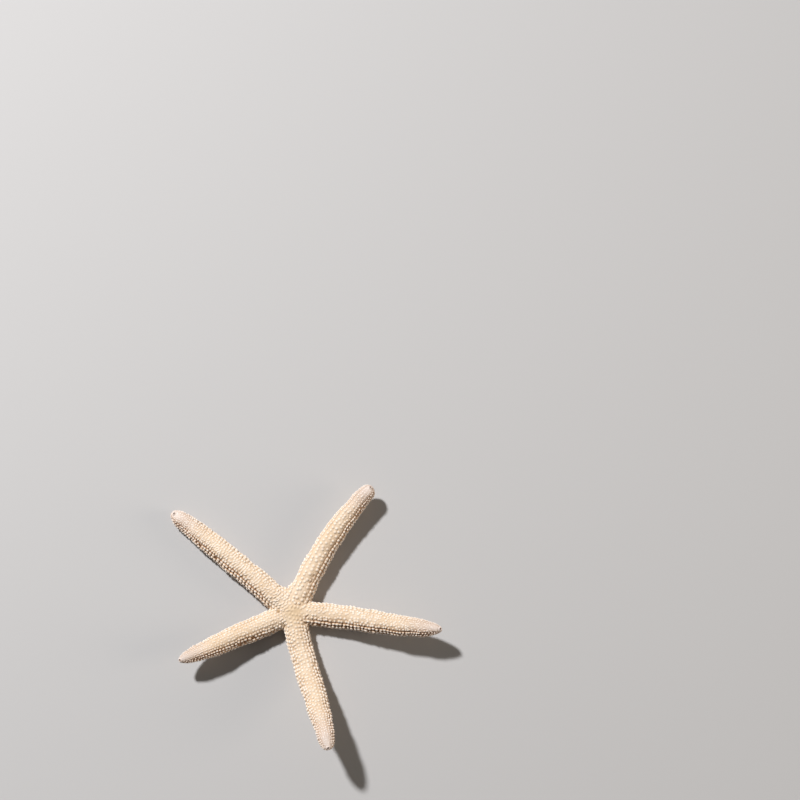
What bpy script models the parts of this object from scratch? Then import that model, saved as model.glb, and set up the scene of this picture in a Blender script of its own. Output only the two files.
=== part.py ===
"""A dried finger starfish, life size, lying with its mouth down and four arm tips curled up.

Units are metres, +Z is up, and the model stands on z = 0. Seen from above, +X is right and +Y is up.
The disc holds the mouth, five grooves and five stubs. Each arm is a loft along a curved midline, with
rows of rounded plates raised in its surface, and ends in a small terminal plate with a pit. The sieve
plate lies in a socket on top of the disc. Neighbours face each other across a thin cut.
"""

import math
import random
from collections import namedtuple

import bmesh
import bpy
import numpy as np
from mathutils import Matrix, Vector, geometry

MODEL_NAME = "finger_starfish"
SEED = 12
CUT = 0.0003

# The section of an arm where it leaves the disc, under the plates
ARM_WIDTH = 0.0090
THICKNESS_RATIO = 0.90
UNDERSIDE_POWER = 2.7
PRESSED_FLAT = 0.00025
SECTION_SAMPLES = 721

# The groove under each arm, at the arm's full width
GROOVE_WIDTH = 0.0012
GROOVE_DEPTH = 0.0010
GROOVE_OVERRUN = 0.002

# The end of each arm: its last few rings, which lie closer, and its end face, as a share of the width that
# it would have if it weren't rounded off
END_RINGS = 3
END_RINGS_REACH = 0.0034
END_FACE_SHARE = 0.52
TERMINAL_LENGTH = 0.0010

# The terminal plate, turned: its pit and its outside, as shares of each one's radius and of its depth or
# height
PIT_RADIUS = 0.0004
PIT_DEPTH = 0.0005
PIT_SHAPE = [(0.0, 1.0), (0.7, 0.7), (1.5, 0.0)]
TERMINAL_SHAPE = [(0.72, 0.9), (0.97, 0.5), (1.0, 0.0), (0.0, 0.0)]
TERMINAL_STEPS = 12

# Plates in the surface. Rows are counted over the top from one lip of the groove to the other
PLATE_ROWS = 17
PLATE_PITCH = 0.0019
PLATE_EVERY = 3
PLATE_HEIGHT = 0.00036
PLATE_VARIATION = 0.3
SMOOTHER_FROM = 0.62
TIP_PLATE_SHARE = 0.45
FLOOR_CLEAR = 0.0014
STEEPEST_TAPER = 1.0

# The disc
STUB_REACH = 0.0104
DISC_RADIUS = 0.0073
DISC_UNDERSIDE_POWER = 5.0
BLEND = 0.00055
WEB_HEADING = 102.0
WEB_SPREAD = 0.6
WEB_BLEND = 0.0008
WEB_FROM = 0.002
WEB_FULL = 0.006
HEAPED_RADIUS = 0.0052
MOUTH_RADIUS = 0.0026
JAW_RADIUS = 0.0012
MOUTH_DEPTH = 0.0022
MOUTH_NARROWING = 0.4
MOUTH_HOLLOW = 0.0004
MOUTH_HOLLOW_RADIUS = 0.0036
LEAST_HOLLOW = 0.000008

# The disc's lattice. Margins keep it off the outline, as shares of the pitch
FACE_STEPS = 10
NOTCH_STEPS = 6
DISC_PLATE_PITCH = 0.0017
DISC_PLATE_HEIGHT = 0.00031
DISC_SMOOTH_RADIUS = 0.0022
DISC_ROUGH_RADIUS = 0.0048
TOP_MARGIN = 0.35
UNDERSIDE_PITCH = 0.00277
UNDERSIDE_MARGIN = 0.29

# The sieve plate on the disc, turned: shares of its radius and thickness
SIEVE_RADIUS = 0.00075
SIEVE_THICKNESS = 0.0005
SIEVE_SHAPE = [(0.0, 1.0), (0.5, 0.92), (0.9, 0.62), (1.0, 0.3), (0.96, 0.0), (0.0, 0.0)]
SIEVE_STEPS = 14
SIEVE_FROM_MOUTH = 0.0052
SIEVE_HEADING = 180.0
SIEVE_SUNK = 0.00040
SOCKET_SIDES = 16
SOCKET_CUTTER_HEIGHT = 0.003

# Angles in degrees and lengths seen from above. bow bends an arm's middle to its left, and sway bends
# its inner half to its left and its outer half to its right. rise is the height of the tip's underside, and
# rounding is the length over which the tip is rounded off.
Arm = namedtuple("Arm", "heading reach bow sway rise lift_off rise_power girth taper taper_power rounding")
ARMS = {
    "upper_right": Arm(57.9, 0.0581, 0.0030, 0.0, 0.0053, 0.014, 1.7, 0.985, 0.40, 3.2, 0.0034),
    "right": Arm(-7.5, 0.0576, 0.0003, 0.0004, 0.0095, 0.013, 1.25, 0.97, 0.42, 3.6, 0.0075),
    "bottom": Arm(-74.0, 0.0550, -0.0002, -0.0004, 0.0176, 0.013, 1.5, 0.985, 0.40, 3.6, 0.0050),
    "lower_left": Arm(-155.7, 0.0464, -0.0002, 0.0, 0.0073, 0.012, 1.2, 0.965, 0.46, 2.7, 0.0080),
    "upper_left": Arm(140.6, 0.0620, -0.0005, 0.0, 0.0, 0.060, 1.0, 1.0, 0.33, 3.4, 0.0065),
}

COLOURS = {
    "disc": (0.83, 0.73, 0.56),
    "arm": (0.84, 0.74, 0.58),
    "terminal": (0.80, 0.69, 0.57),
    "sieve": (0.42, 0.27, 0.15),
}
ROUGHNESS = 0.85

HALF_WIDTH = ARM_WIDTH / 2
AXIS_HEIGHT = HALF_WIDTH * THICKNESS_RATIO - PRESSED_FLAT
LATTICE_STEPS = PLATE_EVERY * (PLATE_ROWS - 1) // 2
T_STEP = 0.001
HALVINGS = 40
SAME_POINT_IN_PLAN = 1e-9
SAME_POINT = 1e-6


def smooth_step(value, low, high):
    """0 below low, 1 above high, with a smooth rise between."""
    x = np.clip((value - low) / (high - low), 0.0, 1.0)
    return x * x * (3 - 2 * x)


def turned_left(vector):
    return Vector((-vector.y, vector.x, 0))


def heading_vector(degrees):
    angle = math.radians(degrees)
    return Vector((math.cos(angle), math.sin(angle), 0))


# The midline and width of an arm. t runs from 0 over the mouth to 1 at the tip.


def half_width(arm, t):
    """Half an arm's width, tapered and then rounded off at its end."""
    width = HALF_WIDTH * arm.girth * (1 - arm.taper * t**arm.taper_power)
    full_length = arm.reach - TERMINAL_LENGTH + arm.rounding * (1 - math.sqrt(1 - END_FACE_SHARE**2))
    into_end = 1 - (full_length - arm.reach * t) / arm.rounding
    if into_end > 0:
        width *= math.sqrt(max(1 - into_end**2, 0))
    return width


def midline(arm, t):
    along = heading_vector(arm.heading)
    aside = arm.bow * math.sin(math.pi * t) + arm.sway * math.sin(2 * math.pi * t)
    point = along * arm.reach * t + turned_left(along) * aside
    untapered = HALF_WIDTH * arm.girth * (1 - arm.taper * t**arm.taper_power)
    rising = max(arm.reach * t - arm.lift_off, 0) / (arm.reach - arm.lift_off)
    point.z = untapered * THICKNESS_RATIO - PRESSED_FLAT + arm.rise * rising**arm.rise_power
    return point


def root_heading(arm):
    """The way from the mouth to the middle of the arm's root."""
    root = midline(arm, STUB_REACH / arm.reach)
    return Vector((root.x, root.y, 0)).normalized()


def frame_at(arm, t):
    """The midline's point, and the unit vectors along it, to its left and up."""
    along = (midline(arm, t + T_STEP) - midline(arm, t - T_STEP)).normalized()
    if arm.reach * t < STUB_REACH + CUT:
        along = root_heading(arm)
    left = Vector((0, 0, 1)).cross(along).normalized()
    return midline(arm, t), along, left, along.cross(left)


# The section of an arm, in half widths. It is round on top and flatter below.


def section_point(angle):
    """A point of the section, angle running from 0 on top to pi below, on the left for positive ones."""
    across, up = math.sin(angle), math.cos(angle)
    if up >= 0:
        return across, up * THICKNESS_RATIO
    power = 2 / UNDERSIDE_POWER
    return math.copysign(abs(across) ** power, across), -THICKNESS_RATIO * abs(up) ** power


def section_stations():
    """Evenly spaced points of the section, from the left lip of the groove over the top to the right."""
    lip = math.asin((GROOVE_WIDTH / ARM_WIDTH) ** (UNDERSIDE_POWER / 2))
    angles = np.linspace(math.pi - lip, lip - math.pi, SECTION_SAMPLES)
    points = np.array([section_point(a) for a in angles])
    lengths = np.append(0, np.cumsum(np.hypot(*np.diff(points, axis=0).T)))

    def station(step):
        where = step / LATTICE_STEPS * lengths[-1]
        return tuple(np.interp(where, lengths, points[:, i]) for i in range(2))

    return station


def ring_places(arm):
    """t of each ring of an arm. Rings lie closer where the arm is thinner."""
    first = (STUB_REACH + CUT / 2) / arm.reach
    last = 1 - TERMINAL_LENGTH / arm.reach
    end_from = last - END_RINGS_REACH / arm.reach
    fine = np.linspace(first, end_from, SECTION_SAMPLES)
    widths = np.array([half_width(arm, t) for t in fine]) / HALF_WIDTH
    counted = np.append(0, np.cumsum(np.diff(fine) * arm.reach / (PLATE_PITCH / 2 * widths[1:])))
    rings = round(counted[-1])
    places = list(np.interp(np.linspace(0, counted[-1], rings + 1), counted, fine))
    for i in range(1, END_RINGS + 1):
        places.append(end_from + (last - end_from) * math.sin(i / END_RINGS * math.pi / 2))
    return places


def plate_rise(arm, t, step, ring, base_height, draw):
    """How far a plate's top stands out here. Every other ring's plates are shifted by half their spacing."""
    shifted = step + PLATE_EVERY / 2 if ring % 2 else step
    if shifted % PLATE_EVERY:
        return 0.0
    size = half_width(arm, t) / HALF_WIDTH
    smoother = 1 - (1 - TIP_PLATE_SHARE) * smooth_step(t, SMOOTHER_FROM, 1)
    clear = smooth_step(base_height, 0, FLOOR_CLEAR)
    varied = 1 + PLATE_VARIATION * (draw.random() * 2 - 1)
    return PLATE_HEIGHT * math.sqrt(size) * smoother * clear * varied


def ring_steps(ring):
    """Lattice places round a ring. Every other ring is shifted by half a step between its lips."""
    if ring % 2 == 0:
        return [float(i) for i in range(LATTICE_STEPS + 1)]
    return [0.0, *[i + 0.5 for i in range(LATTICE_STEPS)], float(LATTICE_STEPS)]


def arm_ring(arm, t, ring, station, draw, flat_end):
    """The points of one ring from lip to lip, and then the groove's bottom."""
    middle, along, left, up = frame_at(arm, t)
    width = half_width(arm, t)
    slope = (half_width(arm, t + T_STEP) - half_width(arm, t - T_STEP)) / (2 * T_STEP * arm.reach)
    points = []
    for step in ring_steps(ring):
        across, height = station(step)
        base = middle + (left * across + up * height) * width
        outward = (left * across + up * height / THICKNESS_RATIO).normalized()
        if not flat_end:
            outward = (outward - along * max(slope, -STEEPEST_TAPER)).normalized()
        rise = plate_rise(arm, t, step, ring, base.z, draw)
        base += outward * rise
        base.z = max(base.z, 0)
        points.append(base)
    lips_height = (points[0] + points[-1]) / 2
    groove = lips_height + up * GROOVE_DEPTH * width / HALF_WIDTH
    return [*points, groove]


def join_rings(mesh, short, long):
    """Faces between a ring of whole steps and the next one of shifted steps, lip to lip."""
    for k in range(len(short)):
        mesh.faces.new((short[k], long[k], long[k + 1]))
    for k in range(len(short) - 1):
        mesh.faces.new((short[k], long[k + 1], short[k + 1]))


def arm_mesh(arm, draw):
    mesh = bmesh.new()
    station = section_stations()
    places = ring_places(arm)
    rings = []
    for i, t in enumerate(places):
        flat_end = i in (0, len(places) - 1)
        points = arm_ring(arm, t, i, station, draw, flat_end)
        rings.append([mesh.verts.new(p) for p in points])
    for i in range(len(rings) - 1):
        here, beyond = rings[i], rings[i + 1]
        short, long = (here, beyond) if i % 2 == 0 else (beyond, here)
        join_rings(mesh, short[:-1], long[:-1])
        mesh.faces.new((here[0], here[-1], beyond[-1], beyond[0]))
        mesh.faces.new((here[-1], here[-2], beyond[-2], beyond[-1]))
    mesh.faces.new(rings[0])
    mesh.faces.new(rings[-1])
    bmesh.ops.recalc_face_normals(mesh, faces=mesh.faces)
    bmesh.ops.triangulate(mesh, faces=[f for f in mesh.faces if len(f.verts) > 3])
    return mesh


# The disc, as the outer surface of one smooth field of the five arm roots and a low round body


def root_field(points, arm):
    """Below 0 inside the arm's root, whose inner end is rounded off past the mouth."""
    way = root_heading(arm)
    size = HALF_WIDTH * arm.girth
    along = points[..., 0] * way.x + points[..., 1] * way.y
    across = points[..., 1] * way.x - points[..., 0] * way.y
    height = (points[..., 2] - AXIS_HEIGHT) / THICKNESS_RATIO
    sides = np.abs(np.stack([across, height, np.minimum(along, 0)])) / size
    round_reach = np.sqrt((sides**2).sum(axis=0))
    flat_reach = (sides**UNDERSIDE_POWER).sum(axis=0) ** (1 / UNDERSIDE_POWER)
    return (np.where(height >= 0, round_reach, flat_reach) - 1) * size


def blend_at(points, from_mouth):
    """How widely the roots run into each other. The upper two have a web between them."""
    off = np.arctan2(points[..., 1], points[..., 0]) - math.radians(WEB_HEADING)
    off = (off + math.pi) % (2 * math.pi) - math.pi
    web = np.exp(-((off / WEB_SPREAD) ** 2)) * smooth_step(from_mouth, WEB_FROM, WEB_FULL)
    return BLEND + WEB_BLEND * web


def disc_field(points):
    """Below 0 inside the disc. The middle, where all five roots heap up, is held down."""
    from_mouth = np.hypot(points[..., 0], points[..., 1])
    height = (points[..., 2] - AXIS_HEIGHT) / (HALF_WIDTH * THICKNESS_RATIO)
    power = np.where(height >= 0, 2.0, DISC_UNDERSIDE_POWER)
    rounded = (from_mouth / DISC_RADIUS) ** power + np.abs(height) ** power
    body = (rounded ** (1 / power) - 1) * HALF_WIDTH
    parts = [root_field(points, arm) for arm in ARMS.values()] + [body]
    blend = blend_at(points, from_mouth)
    heaped = sum(np.exp(-part / blend) for part in parts)
    held_down = 1 + len(ARMS) * np.exp(-((from_mouth / HEAPED_RADIUS) ** 2))
    return -blend * np.log(heaped / held_down)


def solve(field, inside, outside):
    """Points where the field is 0 on the lines from inside points to outside points."""
    low, high = np.zeros(len(inside)), np.ones(len(inside))
    for _ in range(HALVINGS):
        middle = (low + high) / 2
        within = field(inside + (outside - inside) * middle[:, None]) < 0
        low, high = np.where(within, middle, low), np.where(within, high, middle)
    return inside + (outside - inside) * low[:, None]


def level_points(plan, height):
    return np.column_stack([plan, np.full(len(plan), height)])


def surface_above(plan):
    base = level_points(plan, AXIS_HEIGHT)
    return solve(disc_field, base, base + (0, 0, 2 * HALF_WIDTH))


def surface_below(plan):
    """The underside, pressed flat on the floor and hollowed round the mouth."""
    base = level_points(plan, AXIS_HEIGHT)
    points = solve(disc_field, base, base - (0, 0, 2 * HALF_WIDTH))
    from_mouth = np.hypot(plan[:, 0], plan[:, 1])
    hollow = MOUTH_HOLLOW * np.exp(-((from_mouth / MOUTH_HOLLOW_RADIUS) ** 4))
    points[:, 2] = np.maximum(points[:, 2], 0) + np.where(hollow > LEAST_HOLLOW, hollow, 0)
    return points


def face_edge(arm, left):
    """The corner of a stub's end face, level with the arm's middle."""
    way = root_heading(arm)
    reach = STUB_REACH - CUT / 2
    side = turned_left(way) * (1 if left else -1)
    start = np.array([[*(way * reach).xy, AXIS_HEIGHT]])
    return solve(disc_field, start, start + np.array(side) * ARM_WIDTH)[0][:2]


def disc_outline():
    """The disc's outline seen from above, anticlockwise: (points, the first and last of each end face)."""
    order = sorted(ARMS.values(), key=lambda arm: math.atan2(root_heading(arm).y, root_heading(arm).x))
    points, faces = [], []
    for i, arm in enumerate(order):
        start, end = face_edge(arm, left=False), face_edge(arm, left=True)
        faces.append((len(points), len(points) + FACE_STEPS))
        for k in range(FACE_STEPS + 1):
            eased = (1 - math.cos(math.pi * k / FACE_STEPS)) / 2
            points.append(start + (end - start) * eased)
        following = face_edge(order[(i + 1) % len(order)], left=False)
        first, last = math.atan2(end[1], end[0]), math.atan2(following[1], following[0])
        turn = (last - first) % (2 * math.pi)
        for k in range(1, NOTCH_STEPS):
            angle = first + turn * k / NOTCH_STEPS
            inside = np.array([[0, 0, AXIS_HEIGHT]])
            outside = inside + 2 * STUB_REACH * np.array([math.cos(angle), math.sin(angle), 0])
            points.append(solve(disc_field, inside, outside)[0][:2])
    return np.array(points), faces


def inner_lattice(outline, pitch, margin):
    """Triangular lattice points inside the outline, each flagged if a plate tops it."""
    step = pitch / math.sqrt(3)
    reach = int(2 * STUB_REACH / step)
    chosen, flags = [], []
    following = np.roll(outline, -1, axis=0)
    edges = following - outline
    for m in range(-reach, reach + 1):
        for n in range(-reach, reach + 1):
            x, y = step * (m + n / 2), step * n * math.sqrt(3) / 2
            away = np.array([x, y]) - outline
            along = np.clip((away * edges).sum(axis=1) / (edges**2).sum(axis=1), 0, 1)
            nearest = np.hypot(*(away - edges * along[:, None]).T).min()
            crossed = (outline[:, 1] > y) != (following[:, 1] > y)
            run = np.divide(y - outline[:, 1], edges[:, 1], out=np.zeros(len(edges)), where=crossed)
            inside = (crossed & (x < outline[:, 0] + run * edges[:, 0])).sum() % 2 == 1
            if inside and nearest > margin * pitch:
                chosen.append((x, y))
                flags.append((m - n) % 3 == 0)
    return np.array(chosen), flags


def disc_plate_rise(point, flagged, draw):
    """Plates fade towards the smooth middle of the disc."""
    if not flagged:
        return 0.0
    from_mouth = math.hypot(point[0], point[1])
    fade = smooth_step(from_mouth, DISC_SMOOTH_RADIUS, DISC_ROUGH_RADIUS)
    varied = 1 + PLATE_VARIATION * (draw.random() * 2 - 1)
    return DISC_PLATE_HEIGHT * fade * varied


def add_sheet(mesh, rim, rim_plan, inner, inner_plan, upward):
    """One side of the disc, from its rim's vertices and those within."""
    plan = [Vector(p) for p in [*rim_plan, *inner_plan]]
    rim_edges = [(i, (i + 1) % len(rim_plan)) for i in range(len(rim_plan))]
    triangles = geometry.delaunay_2d_cdt(plan, rim_edges, [], 1, SAME_POINT_IN_PLAN)[2]
    vertices = [*rim, *inner]
    for face in triangles:
        corners = [vertices[i] for i in face]
        flat = [plan[i] for i in face]
        turn = (flat[1] - flat[0]).cross(flat[2] - flat[0])
        mesh.faces.new(corners if (turn > 0) == upward else corners[::-1])


def disc_mesh(draw):
    """Top and underside share the rim in the notches, and a flat face joins them at each stub."""
    mesh = bmesh.new()
    outline, faces = disc_outline()
    on_face = {k: (first, last) for first, last in faces for k in range(first + 1, last)}
    top, bottom = surface_above(outline), surface_below(outline)
    upper, lower = [], []
    for k, spot in enumerate(outline):
        if k in on_face:
            upper.append(mesh.verts.new(top[k]))
            lower.append(mesh.verts.new(bottom[k]))
        else:
            upper.append(mesh.verts.new((*spot, AXIS_HEIGHT)))
            lower.append(upper[-1])
    for first, last in faces:
        ring = [upper[k] for k in range(first, last + 1)] + [lower[k] for k in range(last - 1, first, -1)]
        mesh.faces.new(ring[::-1])
    inner, flags = inner_lattice(outline, DISC_PLATE_PITCH, TOP_MARGIN)
    above = surface_above(inner)
    tops = []
    for point, flagged in zip(above, flags):
        rise = disc_plate_rise(point, flagged, draw)
        tops.append(mesh.verts.new((point[0], point[1], point[2] + rise)))
    add_sheet(mesh, upper, outline, tops, inner, upward=True)
    inner, _ = inner_lattice(outline, UNDERSIDE_PITCH, UNDERSIDE_MARGIN)
    bottoms = [mesh.verts.new(p) for p in surface_below(inner)]
    add_sheet(mesh, lower, outline, bottoms, inner, upward=False)
    bmesh.ops.recalc_face_normals(mesh, faces=mesh.faces)
    bmesh.ops.triangulate(mesh, faces=[f for f in mesh.faces if len(f.verts) > 3])
    return mesh


# Cutters, which shape the disc's underside and the sieve plate's socket


def hidden_cutter(name, mesh, collection):
    cutter = new_object(name, mesh, collection)
    cutter.hide_render = True
    cutter.display_type = "WIRE"
    return cutter


def groove_cutter(name, arm, collection):
    """A three-sided bar that cuts the groove from the mouth out past the stub's end."""
    mesh = bmesh.new()
    length = STUB_REACH + GROOVE_OVERRUN
    bmesh.ops.create_cone(
        mesh, cap_ends=True, segments=3, radius1=1.0, radius2=1.0, depth=length
    )
    low = -2 * CUT
    depth = GROOVE_DEPTH * arm.girth
    half = GROOVE_WIDTH / 2 * arm.girth * (depth - low) / depth
    for vertex in mesh.verts:
        along = vertex.co.z + length / 2
        at_bottom = vertex.co.y < 0
        across = math.copysign(half, vertex.co.x) if at_bottom else 0.0
        vertex.co = (along, across, low if at_bottom else depth)
    bmesh.ops.recalc_face_normals(mesh, faces=mesh.faces)
    cutter = hidden_cutter(name, mesh, collection)
    way = root_heading(arm)
    cutter.rotation_euler.z = math.atan2(way.y, way.x)
    return cutter


def mouth_cutter(collection):
    """A star that leaves five jaws, pointing inwards between the grooves."""
    mesh = bmesh.new()
    points = 2 * len(ARMS)
    bmesh.ops.create_cone(
        mesh, cap_ends=True, segments=points, radius1=1.0, radius2=MOUTH_NARROWING, depth=2 * MOUTH_DEPTH
    )
    first = root_heading(ARMS["upper_right"])
    start = math.atan2(first.y, first.x)
    for vertex in mesh.verts:
        round_place = math.atan2(vertex.co.y, vertex.co.x) / (2 * math.pi) * points
        at_groove = round(round_place) % 2 == 0
        vertex.co.xy *= MOUTH_RADIUS if at_groove else JAW_RADIUS
    cutter = hidden_cutter("mouth_cutter", mesh, collection)
    cutter.rotation_euler.z = start
    return cutter


def sieve_place():
    """The socket's floor, under the point where the sieve plate's middle meets the disc's surface."""
    way = heading_vector(SIEVE_HEADING) * SIEVE_FROM_MOUTH
    surface = Vector(surface_above(np.array([[way.x, way.y]]))[0])
    return surface - Vector((0, 0, SIEVE_SUNK))


def socket_cutter(collection):
    mesh = bmesh.new()
    radius = SIEVE_RADIUS + CUT
    height = SOCKET_CUTTER_HEIGHT
    bmesh.ops.create_cone(
        mesh, cap_ends=True, segments=SOCKET_SIDES, radius1=radius, radius2=radius, depth=height
    )
    cutter = hidden_cutter("sieve_socket_cutter", mesh, collection)
    cutter.location = sieve_place() + Vector((0, 0, height / 2 - CUT))
    return cutter


def cut_away(target, cutter):
    modifier = target.modifiers.new(cutter.name, "BOOLEAN")
    modifier.operation = "DIFFERENCE"
    modifier.solver = "EXACT"
    modifier.object = cutter


# Turned pieces: the terminal plates and the sieve plate


def turned_mesh(profile):
    """An open profile in the XZ plane, from the top of the axis round the outside to its bottom."""
    mesh = bmesh.new()
    vertices = [mesh.verts.new((radius, 0, height)) for radius, height in profile]
    for first, second in zip(vertices, vertices[1:]):
        mesh.edges.new((first, second))
    return mesh


def turn(piece, steps):
    screw = piece.modifiers.new("turned", "SCREW")
    screw.axis = "Z"
    screw.steps = steps
    screw.render_steps = steps
    screw.use_merge_vertices = True
    screw.merge_threshold = SAME_POINT
    screw.use_smooth_shade = True


def terminal_plate(name, arm, collection):
    """A blunt button with a raised rim round its pit, as wide as the arm's end face that it is set on."""
    t = 1 - TERMINAL_LENGTH / arm.reach
    radius = half_width(arm, t)
    length = TERMINAL_LENGTH - CUT
    pit = [(PIT_RADIUS * out, length - PIT_DEPTH * down) for out, down in PIT_SHAPE]
    outside = [(radius * out, length * up) for out, up in TERMINAL_SHAPE]
    plate = new_object(name, turned_mesh(pit + outside), collection)
    turn(plate, TERMINAL_STEPS)
    middle, along, left, up = frame_at(arm, t)
    foot = middle + along * CUT
    axes = Matrix((-left, up, along)).transposed().to_4x4()
    plate.matrix_world = Matrix.Translation(foot) @ axes
    plate.scale.y = THICKNESS_RATIO
    return plate


def sieve_plate(collection):
    profile = [(SIEVE_RADIUS * out, SIEVE_THICKNESS * up) for out, up in SIEVE_SHAPE]
    plate = new_object("sieve_plate", turned_mesh(profile), collection)
    turn(plate, SIEVE_STEPS)
    plate.location = sieve_place()
    return plate


# Objects, materials and collections


def new_collection(name):
    collection = bpy.data.collections.new(name)
    bpy.context.scene.collection.children.link(collection)
    return collection


def new_object(name, mesh, collection):
    data = bpy.data.meshes.new(name)
    mesh.to_mesh(data)
    mesh.free()
    piece = bpy.data.objects.new(name, data)
    collection.objects.link(piece)
    return piece


def finish(piece, kind):
    material = bpy.data.materials.new(piece.name)
    material.use_nodes = True
    shader = material.node_tree.nodes["Principled BSDF"]
    shader.inputs["Base Color"].default_value = (*COLOURS[kind], 1)
    shader.inputs["Roughness"].default_value = ROUGHNESS
    shader.inputs["Metallic"].default_value = 0.0
    piece.data.materials.append(material)
    piece.data.shade_smooth()


def centre_on_box(pieces, origin):
    """Moves the parent so that the model's box is centred over the world's origin."""
    graph = bpy.context.evaluated_depsgraph_get()
    graph.update()
    corners = []
    for piece in pieces:
        evaluated = piece.evaluated_get(graph)
        mesh = evaluated.to_mesh()
        corners.extend(evaluated.matrix_world @ v.co for v in mesh.vertices)
        evaluated.to_mesh_clear()
    spread = np.array(corners)
    middle = (spread.min(axis=0) + spread.max(axis=0)) / 2
    origin.location = (-middle[0], -middle[1], 0)


def main():
    for old in list(bpy.data.objects):
        bpy.data.objects.remove(old)
    parts = new_collection(MODEL_NAME)
    cutters = new_collection("cutters")
    draw = random.Random(SEED)

    disc = new_object("disc", disc_mesh(draw), parts)
    finish(disc, "disc")
    shaping = [mouth_cutter(cutters), socket_cutter(cutters)]
    shaping += [groove_cutter(f"groove_cutter_{name}", arm, cutters) for name, arm in ARMS.items()]
    for cutter in shaping:
        cut_away(disc, cutter)

    pieces = [disc]
    for name, arm in ARMS.items():
        piece = new_object(f"arm_{name}", arm_mesh(arm, draw), parts)
        finish(piece, "arm")
        terminal = terminal_plate(f"terminal_plate_{name}", arm, parts)
        finish(terminal, "terminal")
        pieces += [piece, terminal]
    sieve = sieve_plate(parts)
    finish(sieve, "sieve")
    pieces.append(sieve)

    origin = bpy.data.objects.new("starfish_origin", None)
    parts.objects.link(origin)
    for piece in pieces + shaping:
        piece.parent = origin
    centre_on_box(pieces, origin)


main()
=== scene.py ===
"""The looks of a dried, bleached finger starfish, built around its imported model.

One skin covers the disc and the five arms with no seam. Its plates are beads raised along the arms: round
ones in lengthwise rows on the sides, low ones in oblique chains across the top, small ones beside the
grooves underneath. Each arm ends in a small terminal plate with a pit, and the sieve plate lies in a
dimple of the disc. Units are metres. The camera looks down from the front, at the photograph's angle.
"""

import math
from collections import namedtuple

import bpy
import numpy as np
from mathutils import Matrix, Vector
from mathutils.kdtree import KDTree


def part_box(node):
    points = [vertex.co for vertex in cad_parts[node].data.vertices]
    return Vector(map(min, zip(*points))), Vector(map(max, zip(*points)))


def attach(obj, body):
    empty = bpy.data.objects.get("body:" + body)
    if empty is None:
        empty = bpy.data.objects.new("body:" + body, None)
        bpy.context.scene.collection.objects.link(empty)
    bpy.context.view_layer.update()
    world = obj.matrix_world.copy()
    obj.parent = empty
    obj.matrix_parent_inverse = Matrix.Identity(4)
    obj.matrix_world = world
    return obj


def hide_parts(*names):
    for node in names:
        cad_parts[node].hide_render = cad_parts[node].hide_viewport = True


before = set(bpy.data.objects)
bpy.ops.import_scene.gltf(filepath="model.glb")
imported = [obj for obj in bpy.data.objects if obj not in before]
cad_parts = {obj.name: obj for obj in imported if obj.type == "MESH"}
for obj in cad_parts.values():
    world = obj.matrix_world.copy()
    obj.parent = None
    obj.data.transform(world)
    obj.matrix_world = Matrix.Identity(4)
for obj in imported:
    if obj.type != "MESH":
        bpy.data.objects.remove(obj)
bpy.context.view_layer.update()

MM = 0.001
SEED = 21

# The body under the plates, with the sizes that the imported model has
ARM_WIDTH = 9.0 * MM
THICKNESS_RATIO = 0.90
UNDERSIDE_POWER = 2.7
PRESSED_FLAT = 0.25 * MM
END_FACE_SHARE = 0.52
TERMINAL_LENGTH = 1.0 * MM
STUB_REACH = 10.4 * MM
DISC_RADIUS = 7.3 * MM
DISC_UNDERSIDE_POWER = 5.0
BLEND = 0.55 * MM
WEB_HEADING = 102.0
WEB_SPREAD = 0.6
WEB_BLEND = 0.8 * MM
WEB_FROM = 2.0 * MM
WEB_FULL = 6.0 * MM
HEAPED_RADIUS = 5.2 * MM
SIEVE_FROM_MOUTH = 5.2 * MM
SIEVE_HEADING = 180.0

# Angles in degrees and lengths seen from above, anticlockwise from the right arm
Arm = namedtuple(
    "Arm", "name heading reach bow sway rise lift_off rise_power girth taper taper_power rounding"
)
ARMS = [
    Arm("right", -7.5, 57.6 * MM, 0.3 * MM, 0.4 * MM, 9.5 * MM, 13 * MM, 1.25, 0.97, 0.42, 3.6, 7.5 * MM),
    Arm("upper_right", 57.9, 58.1 * MM, 3.0 * MM, 0.0, 5.3 * MM, 14 * MM, 1.7, 0.985, 0.40, 3.2, 3.4 * MM),
    Arm("upper_left", 140.6, 62.0 * MM, -0.5 * MM, 0.0, 0.0, 60 * MM, 1.0, 1.0, 0.33, 3.4, 6.5 * MM),
    Arm("lower_left", 204.3, 46.4 * MM, -0.2 * MM, 0.0, 7.3 * MM, 12 * MM, 1.2, 0.965, 0.46, 2.7, 8.0 * MM),
    Arm("bottom", 286.0, 55 * MM, -0.2 * MM, -0.4 * MM, 17.6 * MM, 13 * MM, 1.5, 0.985, 0.40, 3.6, 5.0 * MM),
]

# The grid of the skin. Each arm is a patch of rings and columns, from the seams of its sector to its tip
COLUMNS = 208
RING_STEP = 0.13 * MM
TIP_ANGLE = math.radians(82)
SETTLED_TO = 9.5 * MM
TUBE_FROM = 13.5 * MM
SETTLE_ROUNDS = 9
LEAST_SQUARED_SLOPE = 0.05
MAP_COLUMNS, MAP_ROWS = 2, 3
MAP_MARGIN = 0.01

# Underside: the gaps between plates stay this far off the floor
GAP_ABOVE_FLOOR = 0.14 * MM
SOFT_LIFT = 0.15 * MM
BELOW = 0.75
GROOVE_WIDTH = 1.2 * MM
GROOVE_DEPTH = 1.0 * MM
MOUTH_RADIUS = 2.6 * MM
JAW_RADIUS = 1.3 * MM
MOUTH_DEPTH = 2.0 * MM
MOUTH_EDGE = (1.15, 0.55)
JAW_SPREAD = 0.33
GROOVE_TAPER = (0.15, 0.50)

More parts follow.
